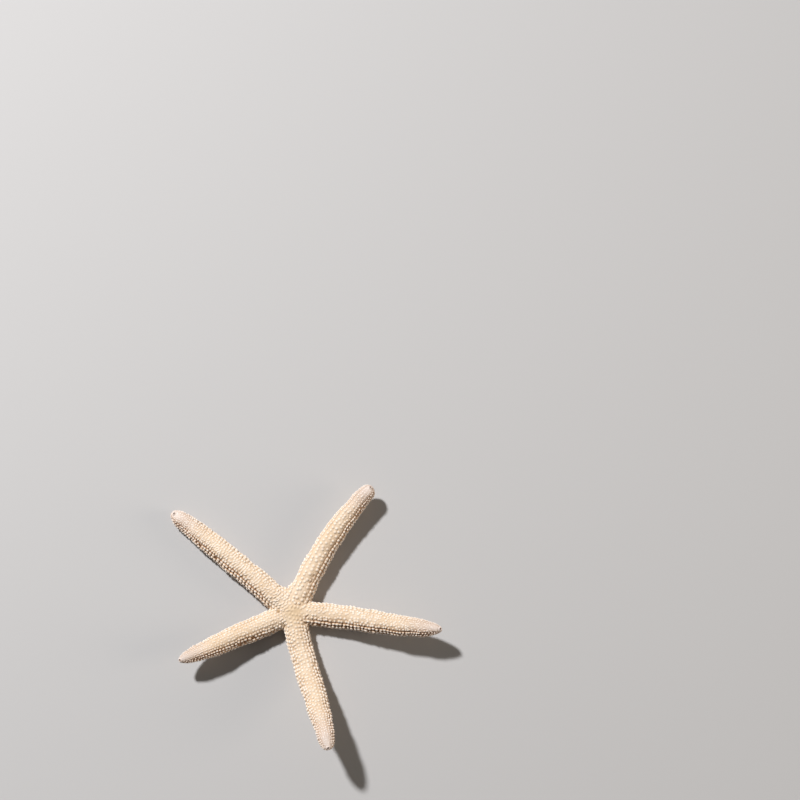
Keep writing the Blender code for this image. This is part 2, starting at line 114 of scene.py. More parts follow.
# Rows of plates on each side of an arm at full width. aside is the way round from the middle of the top,
# along and across are a plate's radii, and side is 0 for plates of the top and 1 for the round side ones.
# TOP_ROW_RISE: how much higher top rows get. LEAST_SPACING: how near the side ones they come, in spacings
Row = namedtuple("Row", "aside pitch shift along across height side")
TOP_ROW = Row(0, 1.25 * MM, 0, 0.50 * MM, 0.54 * MM, 0.18 * MM, 0)
TOP_ROW_SIDE_SHARE = 0.85
TOP_ROW_RISE = 1.2
LEAST_SPACING = 0.75
SIDE_ROWS = [
    Row(3.85 * MM, 1.50 * MM, 0.50, 0.71 * MM, 0.50 * MM, 0.44 * MM, 0.9),
    Row(5.30 * MM, 1.54 * MM, 0.00, 0.75 * MM, 0.51 * MM, 0.54 * MM, 1.0),
    Row(6.75 * MM, 1.54 * MM, 0.50, 0.75 * MM, 0.52 * MM, 0.54 * MM, 1.0),
    Row(8.20 * MM, 1.50 * MM, 0.00, 0.70 * MM, 0.54 * MM, 0.44 * MM, 1.0),
    Row(9.60 * MM, 1.38 * MM, 0.50, 0.60 * MM, 0.56 * MM, 0.30 * MM, 0.8),
    Row(10.95 * MM, 1.25 * MM, 0.00, 0.54 * MM, 0.52 * MM, 0.22 * MM, 0.6),
]

# How arms differ. For the plates on top: the rows' spacing, and as shares of the ordinary ones their pitch,
# radii and height, then their turn and how far they stray. For the gaps between the round side plates, on
# the arm's right and left: how deep they are and how strongly painted shade browns them, most on the side
# away from the key light, and how much of that they lose near the disc
Cover = namedtuple("Cover", "spacing pitch along across height turn stray gaps_right gaps_left root_fade")
COVERS = [
    Cover(1.25 * MM, 1.14, 1.00, 1.05, 0.85, 0.60, 2.8, 1.35, 0.20, 0.25),
    Cover(1.80 * MM, 1.42, 1.30, 1.20, 1.55, 0.0, 1.6, 0.75, 0.25, 0.6),
    Cover(1.25 * MM, 0.86, 0.70, 1.35, 0.95, 0.25, 0.9, 0.15, 1.30, 0.8),
    Cover(1.25 * MM, 0.95, 0.85, 0.85, 0.80, 0.0, 1.2, 0.25, 1.05, 0.65),
    Cover(1.35 * MM, 1.24, 1.00, 1.00, 1.25, -0.1, 0.8, 0.40, 0.45, 0.4),
]
ROW_WANDER = 0.16 * MM
SIDE_PITCH = 1.44 * MM
FINER_AT_TIP = 0.20

# The small plates beside a groove, and how far from its middle their rows lie
FURROW_PLATE = Row(0, 0.74 * MM, 0, 0.34 * MM, 0.34 * MM, 0.26 * MM, 0.5)
FURROW_ROWS = (0.95 * MM, 1.62 * MM)

# How plates vary and crowd. CLOSEST is a share of two neighbours' radii, START_BEFORE_SEAM of a row's pitch
STRAY_ALONG = 0.08 * SIDE_PITCH
STRAY_ACROSS = 0.07 * SIDE_PITCH
SIDE_LOOSENESS = 0.9
TURN_SCATTER = 0.16
START_BEFORE_SEAM = 0.3
ROWS_END = 0.97
SMALLEST_SIZE = 0.2
CLOSEST = 0.80
SIZE_RANGE = (0.86, 1.10)
HEIGHT_RANGE = (0.62, 1.15)
PLATE_SQUARENESS = 2.3
CROWN_POWERS = (2.2, 0.75)

# Where the skin changes, each from where it starts to where it is full: as a share of the way to the tip, in
# metres from the mouth, as a share of the way round, in radii of the nearest plate, and in radii of a knob
FINER = (0.55, 0.92)
TIP = (0.66, 0.97)
SMOOTH_END = (0.86, 0.95)
NEAR_DISC = (17 * MM, 6 * MM)
AT_DISC = (9.5 * MM, 6.5 * MM)
ABOVE_UNDERSIDE = (0.75, 0.60)
# UNDERSIDE: where the painted shade of the underside starts and where it is full
UNDERSIDE = (0.42, 0.62)
GAP = (0.90, 1.25)
WIDE_GAP = (1.4, 2.2)
KNOB = (1.25, 0.85)
KNOB_WELL = (0.8, 0.5)

# The smooth middle of the disc, with a ragged edge
SMOOTH_MIDDLE = (0.5 * MM, -1.3 * MM)
SMOOTH_RADII = (5.04 * MM, 1.05 * MM)
RAGGED = 0.7 * MM

# Relief: how deep gaps are on top, on the sides and at the tips, and how it fades
GAP_DEPTH = 0.22 * MM
TOP_GAPS = 0.3
SIDE_GAPS = 0.9
TIP_GAPS = 0.5
WIDE_GAP_FILLED = 0.6
TIP_FADE = 0.4
SIDE_FADE_LESS = 0.7
MIDDLE_FADE = 0.5
AT_DISC_FADE = 0.75
BOLDER_NEAR_DISC = 0.5
SWELL = 0.14 * MM
LUMPS = 0.05 * MM

# Colour: how pale plates are, partly their own colour and partly painted highlight, and how brown gaps are,
# partly their own stain and partly painted shade, as shares
TOP_PALENESS = 0.65
DULLER_MIDDLE = 0.5
DULLER_NEAR_DISC = 0.15
DULLER_END = 0.5
END_PALENESS = 0.3
TOP_BROWN = 0.45
TIP_BROWN = 0.7
LOW_BROWN = 0.6

# How strong the crease between each arm and its left neighbour is, and two single folds: where each starts
# and ends, its width and its depth. Creases and folds are also coloured brown as painted shade
CREASES = (0.5, 0.15, 0.35, 0.55, 0.75)
CREASE_WIDTH = 0.24 * MM
CREASE_DEPTH = 0.50 * MM
CREASE_FROM = 4.2 * MM
CREASE_TO = 9.0 * MM
CREASE_FADE = 2.0 * MM
FOLDS = [
    ((6.1 * MM, -1.6 * MM), (5.2 * MM, -2.55 * MM), 0.30 * MM, 0.36 * MM),
    ((8.4 * MM, 14.1 * MM), (7.0 * MM, 10.9 * MM), 0.40 * MM, 0.34 * MM),
]

# The sieve plate in its dimple, and the terminal plates, each a knob with a ring round a pit
DIMPLE_RADIUS = 0.85 * MM
DIMPLE_DEPTH = 0.34 * MM
SIEVE_RADIUS = 0.60 * MM
SIEVE_CROWN = 0.20 * MM
SIEVE_GROOVES = 9
SIEVE_GROOVE_DEPTH = 0.07 * MM
SKIRT = 0.3 * MM
WIDEST_TIP = 3.5 * MM
KNOB_ELEVATION = math.radians(56)
KNOB_PROUD = 0.16 * MM
KNOB_CLEARED = 0.10 * MM
PIT_CLEARED = 0.50 * MM
KNOB_RADIUS = 1.05 * MM
KNOB_HEIGHT = 0.84 * MM
KNOB_ROUNDED = 0.96
KNOB_GRAIN = 0.02 * MM
KNOB_RING = 0.56 * MM
KNOB_RING_HEIGHT = 0.13 * MM
KNOB_PIT = 0.42 * MM
KNOB_PIT_DEPTH = 0.50 * MM

# The camera, at the photograph's angle
ELEVATION = 75.0
DISTANCE = 0.6667
LENS = 75.0
SENSOR = 36.0
FRAME_CENTRE_FROM_MOUTH = (41.3 * MM, 85.6 * MM)

# The key light comes from the photograph's upper left. Angles are in degrees, sizes in metres
Lamp = namedtuple("Lamp", "name azimuth elevation distance size power colour")
LAMPS = [
    Lamp("key", 132.5, 48.0, 1.6, 0.16, 33.0, (1.0, 0.985, 0.97)),
    Lamp("fill", -5.0, 14.0, 1.3, 0.6, 6.9, (1.0, 0.87, 0.72)),
]
SKY_COLOUR = (1.0, 0.95, 0.88)
SKY_STRENGTH = 0.10
FLOOR_SIZE = 12.0
FLOOR_GREY = (0.50, 0.50, 0.51)
FLOOR_ROUGHNESS = 0.9

HALF_WIDTH = ARM_WIDTH / 2
AXIS_HEIGHT = HALF_WIDTH * THICKNESS_RATIO - PRESSED_FLAT
BASE_UNDER_CAD = 0.07 * MM
draw = np.random.default_rng(SEED)


def smooth_step(value, low, high):
    x = np.clip((value - low) / (high - low), 0, 1)
    return x * x * (3 - 2 * x)


def heading_vector(degrees):
    angle = math.radians(degrees)
    return np.array([math.cos(angle), math.sin(angle), 0.0])


def unit(vectors):
    return vectors / np.linalg.norm(vectors, axis=-1, keepdims=True)


def mouth_place():
    """Where the mouth lies on the floor, worked out from the sieve plate's node."""
    low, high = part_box("sieve_plate")
    middle = np.array((low + high) / 2)
    place = middle - heading_vector(SIEVE_HEADING) * SIEVE_FROM_MOUTH
    return np.array([place[0], place[1], 0.0])


MOUTH = mouth_place()


# The section of an arm, in half widths, at v from -1 below on the right, over 0 on top, to 1 below


def section_curve(angle):
    across, up = np.sin(angle), np.cos(angle)
    power = np.where(up < 0, 2 / UNDERSIDE_POWER, 1.0)
    return np.abs(across) ** power, np.sign(up) * THICKNESS_RATIO * np.abs(up) ** power


HALF_SECTION = np.array(section_curve(np.linspace(0, math.pi, 1441)))
SECTION_LENGTHS = np.append(0, np.cumsum(np.hypot(*np.diff(HALF_SECTION, axis=1))))
HALF_GIRTH = SECTION_LENGTHS[-1] * HALF_WIDTH


def section_at(v):
    where = np.abs(v) * SECTION_LENGTHS[-1]
    across = np.interp(where, SECTION_LENGTHS, HALF_SECTION[0])
    return np.sign(v) * across, np.interp(where, SECTION_LENGTHS, HALF_SECTION[1])


# The midline and width of an arm. reach_out runs in metres from the mouth, and past the rounding's start
# it turns into an angle, so that the rings stay evenly spaced over the tip


def tip_centre(arm):
    full = arm.reach - TERMINAL_LENGTH + arm.rounding * (1 - math.sqrt(1 - END_FACE_SHARE**2))
    return full - arm.rounding


def tapered_half_width(arm, s):
    t = np.clip(s / arm.reach, 0, 1)
    return HALF_WIDTH * arm.girth * (1 - arm.taper * t**arm.taper_power)


def profile(arm, reach_out):
    """Distance along the heading, and half width, at a place on the profile."""
    start = tip_centre(arm)
    tip_width = tapered_half_width(arm, start)
    quarter = math.pi / 2 * (arm.rounding + tip_width) / 2
    angle = np.clip((reach_out - start) / quarter, 0, 1) * math.pi / 2
    s = np.where(reach_out < start, reach_out, start + arm.rounding * np.sin(angle))
    return s, tapered_half_width(arm, s) * np.cos(angle)


def profile_place(arm, angle):
    """The place on the profile that lies at this angle over the tip."""
    start = tip_centre(arm)
    return start + angle * (arm.rounding + tapered_half_width(arm, start)) / 2


def profile_end(arm):
    return profile_place(arm, TIP_ANGLE)


def root_way(arm):
    t = STUB_REACH / arm.reach
    aside = arm.bow * math.sin(math.pi * t) + arm.sway * math.sin(2 * math.pi * t)
    along = heading_vector(arm.heading)
    return unit(along * STUB_REACH + np.array([-along[1], along[0], 0]) * aside)


def midline(arm, s):
    along = heading_vector(arm.heading)
    left = np.array([-along[1], along[0], 0])
    t = s / arm.reach
    aside = arm.bow * np.sin(math.pi * t) + arm.sway * np.sin(2 * math.pi * t)
    curved = s[..., None] * along + aside[..., None] * left
    straight = s[..., None] * root_way(arm)
    curved_share = smooth_step(s, STUB_REACH / 2, STUB_REACH)[..., None]
    points = straight * (1 - curved_share) + curved * curved_share
    rising = np.maximum(s - arm.lift_off, 0) / (arm.reach - arm.lift_off)
    height = tapered_half_width(arm, s) * THICKNESS_RATIO - PRESSED_FLAT
    points[..., 2] = height + arm.rise * rising**arm.rise_power
    return points


def tube(arm, reach_out, v):
    """Points of the arm's own surface, before it joins the disc."""
    s, width = profile(arm, reach_out)
    step = 0.2 * MM
    along = unit(midline(arm, s + step) - midline(arm, s - step))
    left = unit(np.cross([0, 0, 1], along))
    up = np.cross(along, left)
    across, height = section_at(v)
    return midline(arm, s) + (left * across[..., None] + up * height[..., None]) * width[..., None]


# The disc, as the outer surface of one smooth field of the five arm roots and a low round body


def root_field(points, arm):
    way = root_way(arm)
    size = HALF_WIDTH * arm.girth
    along = points[..., 0] * way[0] + points[..., 1] * way[1]
    across = points[..., 1] * way[0] - points[..., 0] * way[1]
    height = (points[..., 2] - AXIS_HEIGHT) / THICKNESS_RATIO
    sides = np.abs(np.stack([across, height, np.minimum(along, 0)])) / size
    round_reach = np.sqrt((sides**2).sum(axis=0))
    flat_reach = (sides**UNDERSIDE_POWER).sum(axis=0) ** (1 / UNDERSIDE_POWER)
    return (np.where(height >= 0, round_reach, flat_reach) - 1) * size


def disc_field(points):
    """Below 0 inside the disc. The middle, where all five roots heap up, is held down."""
    from_mouth = np.hypot(points[..., 0], points[..., 1])
    height = (points[..., 2] - AXIS_HEIGHT) / (HALF_WIDTH * THICKNESS_RATIO)
    power = np.where(height >= 0, 2.0, DISC_UNDERSIDE_POWER)
    rounded = (from_mouth / DISC_RADIUS) ** power + np.abs(height) ** power
    body = (rounded ** (1 / power) - 1) * HALF_WIDTH
    parts = [root_field(points, arm) for arm in ARMS] + [body]
    off = np.arctan2(points[..., 1], points[..., 0]) - math.radians(WEB_HEADING)
    off = (off + math.pi) % (2 * math.pi) - math.pi
    web = np.exp(-((off / WEB_SPREAD) ** 2)) * smooth_step(from_mouth, WEB_FROM, WEB_FULL)
    blend = BLEND + WEB_BLEND * web
    heaped = sum(np.exp(-part / blend) for part in parts)
    held_down = 1 + len(ARMS) * np.exp(-((from_mouth / HEAPED_RADIUS) ** 2))
    return -blend * np.log(heaped / held_down)


def settle(points, plane_normal=None):
    """Moves points onto the disc's surface, within a vertical plane if one is given."""
    points = points.copy()
    step = 0.01 * MM
    for _ in range(SETTLE_ROUNDS):
        value = disc_field(points)
        sides = [disc_field(points + step * axis) - disc_field(points - step * axis) for axis in np.eye(3)]
        slope = np.stack(sides, axis=-1) / (2 * step)
        if plane_normal is not None:
            slope -= plane_normal * (slope @ plane_normal)[..., None]
        steepness = np.maximum((slope**2).sum(axis=-1), LEAST_SQUARED_SLOPE)
        points -= slope * (value / steepness)[..., None]
    return points


# The body's surface under the plates


def sector_half_angles():
    """Half the angle between each arm and its left neighbour."""
    angles = [math.atan2(root_way(arm)[1], root_way(arm)[0]) for arm in ARMS]
    sectors = [(angles[(k + 1) % len(ARMS)] - angles[k]) % (2 * math.pi) for k in range(len(ARMS))]
    return angles, [sector / 2 for sector in sectors]


ROOT_ANGLES, HALF_SECTORS = sector_half_angles()


def sector_start(k, v):
    """How far out a column of arm k starts, at the seam with its neighbour on that side."""
    across, _ = section_at(v)
    half = np.where(v >= 0, HALF_SECTORS[k], HALF_SECTORS[k - 1])
    return np.abs(across) * HALF_WIDTH * ARMS[k].girth / np.tan(half)


def off_the_floor(points):
    """Lifts what would lie too low, with a soft bend where the lifting starts."""
    low = points[..., 2] - GAP_ABOVE_FLOOR
    lifted = GAP_ABOVE_FLOOR + SOFT_LIFT * np.exp(np.minimum(low / SOFT_LIFT, 1) - 1)
    points[..., 2] = np.where(low > SOFT_LIFT, points[..., 2], lifted)
    return points


def body_surface(k, reach_out, v):
    arm = ARMS[k]
    points = tube(arm, reach_out, v)
    near = reach_out < TUBE_FROM
    if near.any():
        settled = settle(points[near])
        share = 1 - smooth_step(reach_out[near], SETTLED_TO, TUBE_FROM)
        points[near] += (settled - points[near]) * share[..., None]
    return off_the_floor(points)


def seam_points(k):
    """The seam between arm k and its left neighbour, from the middle of the top to the mouth."""
    angle = ROOT_ANGLES[k] + HALF_SECTORS[k]
    way = np.array([math.cos(angle), math.sin(angle), 0])
    v = np.linspace(0, 1, COLUMNS // 2 + 1)
    across, height = section_at(v)
    points = way * (across * HALF_WIDTH / math.sin(HALF_SECTORS[k]))[:, None]
    points[:, 2] = AXIS_HEIGHT + height * HALF_WIDTH
    sideways = np.array([-way[1], way[0], 0])
    return off_the_floor(settle(points, sideways))


# The skin's grid


def ring_count(arm):
    return round(profile_end(arm) / RING_STEP)


def patch(k):
    """Points of arm k's rings past the seam, and where each lies along and round the arm."""
    v = np.linspace(-1, 1, COLUMNS + 1)[:-1]
    start = sector_start(k, v)
    share = np.linspace(0, 1, ring_count(ARMS[k]) + 1)[1:, None]
    reach_out = start + (profile_end(ARMS[k]) - start) * share
    around = np.broadcast_to(v, reach_out.shape)
    return body_surface(k, reach_out, around), reach_out, around


def squares(grid):
    """The four corners of each square between neighbouring rows and columns of a grid."""
    return np.stack([grid[:-1, :-1], grid[1:, :-1], grid[1:, 1:], grid[:-1, 1:]], axis=2)


def map_spots(k, rings):
    """Places on the bake map of arm k's rings and columns, and of its last ring's middle."""
    spots = np.meshgrid(np.linspace(0, 1, rings + 2), np.linspace(0, 1, COLUMNS + 1), indexing="ij")
    cell = np.array([k % MAP_COLUMNS, k // MAP_COLUMNS])
    inside = MAP_MARGIN + (1 - 2 * MAP_MARGIN) * np.stack(spots, axis=-1)
    return (cell + inside) / (MAP_COLUMNS, MAP_ROWS)


def build_grid():
    """All vertices, quads and triangles, with each corner's place on the bake map and each vertex's arm."""
    half = COLUMNS // 2
    seams = [seam_points(k) for k in range(len(ARMS))]
    points = [seams[0][:1], seams[0][-1:]]
    arm_of, place, around = [np.array([0, 0])], [np.zeros(2)], [np.array([0.0, 1.0])]
    seam_first = []
    count = 2
    for k, seam in enumerate(seams):
        seam_first.append(count - 1)
        inner = seam[1:-1]
        points.append(inner)
        arm_of.append(np.full(len(inner), k))
        around.append(np.linspace(0, 1, half + 1)[1:-1])
        place.append(sector_start(k, around[-1]))
        count += len(inner)

    def seam_row(k):
        """Vertex numbers of ring 0 of arm k, all round it."""
        def numbers(seam_index):
            inner = seam_first[seam_index] + np.arange(1, half)
            return np.concatenate([[0], inner, [1]])
        return np.concatenate([numbers(k - 1)[::-1], numbers(k)[1:]])

    quads, corners, fans, fan_corners = [], [], [], []
    for k in range(len(ARMS)):
        grid, reach_out, v = patch(k)
        rings = len(grid)
        numbers = count + np.arange(rings * COLUMNS).reshape(rings, COLUMNS)
        numbers = np.hstack([numbers, numbers[:, :1]])
        numbers = np.vstack([seam_row(k), numbers])
        points.append(grid.reshape(-1, 3))
        arm_of.append(np.full(rings * COLUMNS, k))
        place.append(reach_out.ravel())
        around.append(v.ravel())
        count += rings * COLUMNS
        quads.append(squares(numbers))
        spots = map_spots(k, rings)
        corners.append(squares(spots[:-1]))
        centre = grid[-1].mean(axis=0)
        points.append(centre[None])
        arm_of.append(np.array([k]))
        place.append(np.array([profile_end(ARMS[k])]))
        around.append(np.array([0.0]))
        last = numbers[-1]
        fans.append(np.stack([last[:-1], np.full(COLUMNS, count), last[1:]], axis=-1))
        middle = (spots[-1, :-1] + spots[-1, 1:]) / 2
        fan_corners.append(np.stack([spots[-2, :-1], middle, spots[-2, 1:]], axis=-2))
        count += 1
    faces = np.concatenate([q.reshape(-1, 4) for q in quads]), np.concatenate(fans)
    places = np.concatenate([c.reshape(-1, 2) for c in corners + fan_corners])
    return np.concatenate(points), faces, places, *(np.concatenate(part) for part in (arm_of, place, around))


def mesh_from(name, points, quads, triangles, places=None):
    mesh = bpy.data.meshes.new(name)
    mesh.vertices.add(len(points))
    mesh.vertices.foreach_set("co", points.astype(np.float32).ravel())
    corners = np.concatenate([quads.ravel(), triangles.ravel()])
    mesh.loops.add(len(corners))
    mesh.loops.foreach_set("vertex_index", corners.astype(np.int32))
    starts = np.concatenate([np.arange(len(quads)) * 4, quads.size + np.arange(len(triangles)) * 3])
    mesh.polygons.add(len(starts))
    mesh.polygons.foreach_set("loop_start", starts.astype(np.int32))
    mesh.update(calc_edges=True)
    if places is not None:
        mesh.uv_layers.new(name="OFBake").data.foreach_set("uv", places.astype(np.float32).ravel())
    mesh.shade_smooth()
    return mesh


# Plates


def top_rows(spacing):
    """Rows across the top up to the first row of side plates, whose kind they near."""
    side_from = SIDE_ROWS[0].aside
    rows = []
    for i in range(math.floor(side_from / spacing - LEAST_SPACING) + 1):
        nearness = (i * spacing / side_from) ** 2 * TOP_ROW_SIDE_SHARE
        height = TOP_ROW.height * (1 + TOP_ROW_RISE * nearness)
        rows.append(TOP_ROW._replace(aside=i * spacing, shift=i % 2 / 2, height=height, side=nearness))
    return rows


def all_rows(spacing):
    """Every row of an arm, on both sides, with its place round the arm."""
    rows = []
    for row in top_rows(spacing) + SIDE_ROWS:
        for side in (-1, 1) if row.aside else (1,):
            phase = (row.shift if row.side == 1 else side * row.shift) * row.pitch
            rows.append((side * row.aside / HALF_GIRTH, phase, row))
    for beside in FURROW_ROWS:
        rows += [(side * (1 - beside / HALF_GIRTH), 0.0, FURROW_PLATE) for side in (-1, 1)]
    return rows


def top_share(side):
    """1 for a plate of the very top, down to 0 half way to the kind of the sides."""
    return 1 - np.clip(side / 0.5, 0, 1)


def plate_rows(k):
    """Plates along arm k: how far out and where round it, radii along and across, height and kind."""
    arm, cover = ARMS[k], COVERS[k]
    end = profile_end(arm)
    factors = np.array([cover.pitch, cover.along, cover.across, cover.height])
    found = []
    for v, place, row in all_rows(cover.spacing):
        pitch, along, across, height = 1 + top_share(row.side) * (factors - 1)
        start = float(sector_start(k, np.array(v))) - START_BEFORE_SEAM * row.pitch
        while place < end:
            _, width = profile(arm, np.array(place))
            size = float(np.maximum(width / HALF_WIDTH, SMALLEST_SIZE))
            size *= 1 - FINER_AT_TIP * float(smooth_step(place / end, *FINER))
            if place > start:
                radii = row.along * along * size, row.across * across * size
                found.append((place, v, *radii, row.height * height * math.sqrt(size), row.side))
            place += row.pitch * pitch * size
    return np.array(found)


Plates = namedtuple("Plates", "middle along across radii height side")


def lay_arm(k):
    """The plates of arm k, strayed and turned: each one's middle, axes and sizes."""
    place, v, *radii, height, side = plate_rows(k).T
    top = top_share(side)
    jitter = draw.normal(0, 1, (len(place), 2))
    loose = SIDE_LOOSENESS + top * COVERS[k].stray
    wander = waves(body_surface(k, place, v), 8 * MM, 8) * ROW_WANDER
    place = place + jitter[:, 0] * loose * STRAY_ALONG
    v = v + (jitter[:, 1] * loose * STRAY_ACROSS + wander) / HALF_GIRTH
    v = np.clip(v, -ROWS_END, ROWS_END)
    step = 0.1 * MM
    place = np.clip(place, step, profile_end(ARMS[k]))
    along = unit(body_surface(k, place + step, v) - body_surface(k, place - step, v))
    v_step = step / HALF_GIRTH
    across = body_surface(k, place, v + v_step) - body_surface(k, place, v - v_step)
    across = unit(across - along * (across * along).sum(axis=1)[:, None])
    turn = draw.normal(0, TURN_SCATTER, len(place)) * loose - COVERS[k].turn * top
    ahead, aside = np.cos(turn)[:, None], np.sin(turn)[:, None]
    axes = ahead * along + aside * across, ahead * across - aside * along
    return Plates(body_surface(k, place, v), *axes, np.stack(radii, axis=1), height, side)


def chosen(plates, which):
    return Plates(*(field[which] for field in plates))


def uncrowded(plates):
    """Which plates keep their room from those before them that are kept."""
    kept = np.zeros(len(plates.side), bool)
    for i in range(len(kept)):
        apart = np.linalg.norm(plates.middle[kept] - plates.middle[i], axis=1)
        kept[i] = (apart >= CLOSEST * (plates.radii[i, 0] + plates.radii[kept, 0])).all()
    return kept


def lay_plates():
    """All plates, thinned where rows and arms crowd. The side ones come first, so they are kept."""
    arms = [lay_arm(k) for k in range(len(ARMS))]
    plates = Plates(*(np.concatenate(field) for field in zip(*arms)))
    ties = draw.random(len(plates.side)) * 0.01
    plates = chosen(plates, np.argsort(ties - plates.side, kind="stable"))
    plates = chosen(plates, uncrowded(plates))
    sizes = draw.uniform(*SIZE_RANGE, (len(plates.side), 1))
    heights = draw.uniform(*HEIGHT_RANGE, len(plates.side))
    return plates._replace(radii=plates.radii * sizes, height=plates.height * heights)


def waves(points, wavelength, count):
    """Smooth noise, about -1 to 1, as a sum of waves in random directions."""
    total = np.zeros(len(points))
    for _ in range(count):
        way = unit(draw.normal(0, 1, 3))
        length = wavelength * draw.uniform(0.7, 1.5)
        total += np.sin(points @ way * (2 * math.pi / length) + draw.uniform(0, 2 * math.pi))
    return total / math.sqrt(count)


# How many plates are looked at for each point, and a reach beyond any gap, in radii
NEAREST = 4
FAR_OFF = 9.0


def nearest_plates(points, plates):
    tree = KDTree(len(plates.middle))
    for i, middle in enumerate(plates.middle):
        tree.insert(middle, i)
    tree.balance()
    find = tree.find_n
    return np.array([[hit[1] for hit in find(point, NEAREST)] for point in points.tolist()])


def plate_relief(points, plates):
    """For each point: height over the body, the same as a share of the plate's, how far out on the nearest
    plate it lies, in that plate's radii, and which plate that is."""
    near = nearest_plates(points, plates)
    best_height, best_crown = np.zeros(len(points)), np.zeros(len(points))
    best_reach = np.full(len(points), FAR_OFF)
    owner = near[:, 0].copy()
    crown_power, roundness = CROWN_POWERS
    for mine in near.T:
        away = points - plates.middle[mine]
        along = (away * plates.along[mine]).sum(axis=1) / plates.radii[mine, 0]
        across = (away * plates.across[mine]).sum(axis=1) / plates.radii[mine, 1]
        reach = np.abs(along) ** PLATE_SQUARENESS + np.abs(across) ** PLATE_SQUARENESS
        reach = reach ** (1 / PLATE_SQUARENESS)
        crown = np.maximum(1 - reach**crown_power, 0) ** roundness
        best_height = np.maximum(best_height, plates.height[mine] * crown)
        best_crown = np.maximum(best_crown, crown)
        closer = reach < best_reach
        best_reach = np.where(closer, reach, best_reach)
        owner = np.where(closer, mine, owner)
    return best_height, best_crown, best_reach, owner


# The skin


Lie = namedtuple("Lie", "tip smooth_end near_disc at_disc middle knob well fold dimple")


def lie_of(points, arm_of, reach_out, around):
    """Where each point lies: shares from 0 to 1."""
    outward = reach_out / np.array([profile_end(arm) for arm in ARMS])[arm_of]
    from_mouth = np.hypot(points[:, 0], points[:, 1])
    from_middle = np.hypot(points[:, 0] - SMOOTH_MIDDLE[0], points[:, 1] - SMOOTH_MIDDLE[1])
    ragged = from_middle + RAGGED * waves(points, 4 * MM, 8)
    off_knob = from_a_knob(points)
    on_top = np.abs(around) < 0.5
    return Lie(
        tip=smooth_step(outward, *TIP),
        smooth_end=smooth_step(outward, *SMOOTH_END),
        near_disc=smooth_step(from_mouth, *NEAR_DISC),
        at_disc=smooth_step(from_mouth, *AT_DISC),
        middle=smooth_step(ragged, *SMOOTH_RADII) * on_top,
        knob=smooth_step(off_knob, *KNOB),
        well=smooth_step(off_knob, *KNOB_WELL),
        fold=folded(points) * on_top,
        dimple=dimpled(points) * on_top,
    )


def shade_side_gaps(arm_of, around, side, lie):
    """How deep the gaps between the round side plates are, and how strongly painted shade browns them: most
    on the side of each arm away from the key light, less near the disc.
    """
    both = np.array([(cover.gaps_right, cover.gaps_left) for cover in COVERS])
    fade = np.array([cover.root_fade for cover in COVERS])[arm_of] * lie.near_disc
    gaps = both[arm_of, (around > 0).astype(int)]
    return side * gaps * (1 - fade) * (1 - AT_DISC_FADE * lie.at_disc)


def swells(points, around, middle):
    """Slow swells of the body above its underside, and small lumps in the disc's smooth middle."""
    slow = SWELL * waves(points, 8 * MM, 10) * smooth_step(np.abs(around), *ABOVE_UNDERSIDE)
    return slow + LUMPS * waves(points, 1.3 * MM, 16) * middle


def build_skin():
    points, (quads, triangles), places, arm_of, reach_out, around = build_grid()
    mesh = mesh_from("skin", points, quads, triangles, places)
    normals = np.empty(points.size, np.float32)
    mesh.vertex_normals.foreach_get("vector", normals)

    plates = lay_plates()
    height, crown, reach, owner = plate_relief(points, plates)
    side = plates.side[owner]
    lie = lie_of(points, arm_of, reach_out, around)
    deep = shade_side_gaps(arm_of, around, side, lie)
    gap = smooth_step(reach, *GAP) * (1 - WIDE_GAP_FILLED * smooth_step(reach, *WIDE_GAP))
    fading = (1 - SIDE_FADE_LESS * side) * TIP_FADE * (lie.tip + lie.smooth_end)
    finer = (1 - fading) * (1 - MIDDLE_FADE * lie.middle)

    bolder = 1 + BOLDER_NEAR_DISC * lie.near_disc * (1 - side)
    gap_depth = GAP_DEPTH * (TOP_GAPS + SIDE_GAPS * deep + TIP_GAPS * lie.tip)
    relief = (height * bolder - gap * gap_depth) * finer - BASE_UNDER_CAD
    relief += swells(points, around, lie.middle)
    relief = relief * (1 - lie.knob) - KNOB_CLEARED * lie.knob - PIT_CLEARED * lie.well
    relief = relief * (1 - lie.dimple) - lie.fold * CREASE_DEPTH - lie.dimple * DIMPLE_DEPTH
    shaped = points + normals.reshape(-1, 3) * relief[:, None]
    shaped[:, 2] += underside_hollows(points, arm_of, reach_out, around)
    shaped[:, 2] = np.maximum(shaped[:, 2], 0)
    mesh.vertices.foreach_set("co", (shaped + MOUTH).astype(np.float32).ravel())

    duller = (1 - DULLER_MIDDLE * lie.middle) * (1 - DULLER_NEAR_DISC * lie.near_disc)
    pale = duller * (TOP_PALENESS + (1 - TOP_PALENESS) * side) * (1 - DULLER_END * lie.smooth_end)
    # Brown of the gaps: their own stain everywhere, more at the tips, and painted shade on the side of each
    # arm away from the key light
    brown = TOP_BROWN + (1 - TOP_BROWN) * np.clip(deep + TIP_BROWN * lie.tip, 0, 1)
    # Painted shade browns folds and creases; the sieve plate's dimple is browned too
    low = np.maximum(lie.fold, LOW_BROWN * lie.dimple)
    # Paler plate crowns: partly their own colour, partly painted highlight
    store(mesh, "bead", crown * pale * (1 - lie.knob) + END_PALENESS * np.maximum(lie.smooth_end, lie.knob))
    store(mesh, "gap", np.maximum(gap * finer * brown, low))
    # Share of painted shade and painted highlight on the side of each arm away from the key light, and the
    # brown of folds, creases and the sieve plate's dimple
    store(mesh, "side", np.maximum(np.clip(deep, 0, 1), LOW_BROWN * np.maximum(lie.fold, lie.dimple)))
    # Painted shade: how far into the tan of the underside each point lies
    store(mesh, "under", smooth_step(np.abs(around), *UNDERSIDE))
    store(mesh, "tint", draw.random(len(plates.side))[owner])
    store(mesh, "tip", lie.tip)
    store(mesh, "middle", lie.middle)
    mesh.update()
    skin = bpy.data.objects.new("skin", mesh)
    bpy.context.scene.collection.objects.link(skin)
    skin.data.materials.append(skin_material())
    return skin


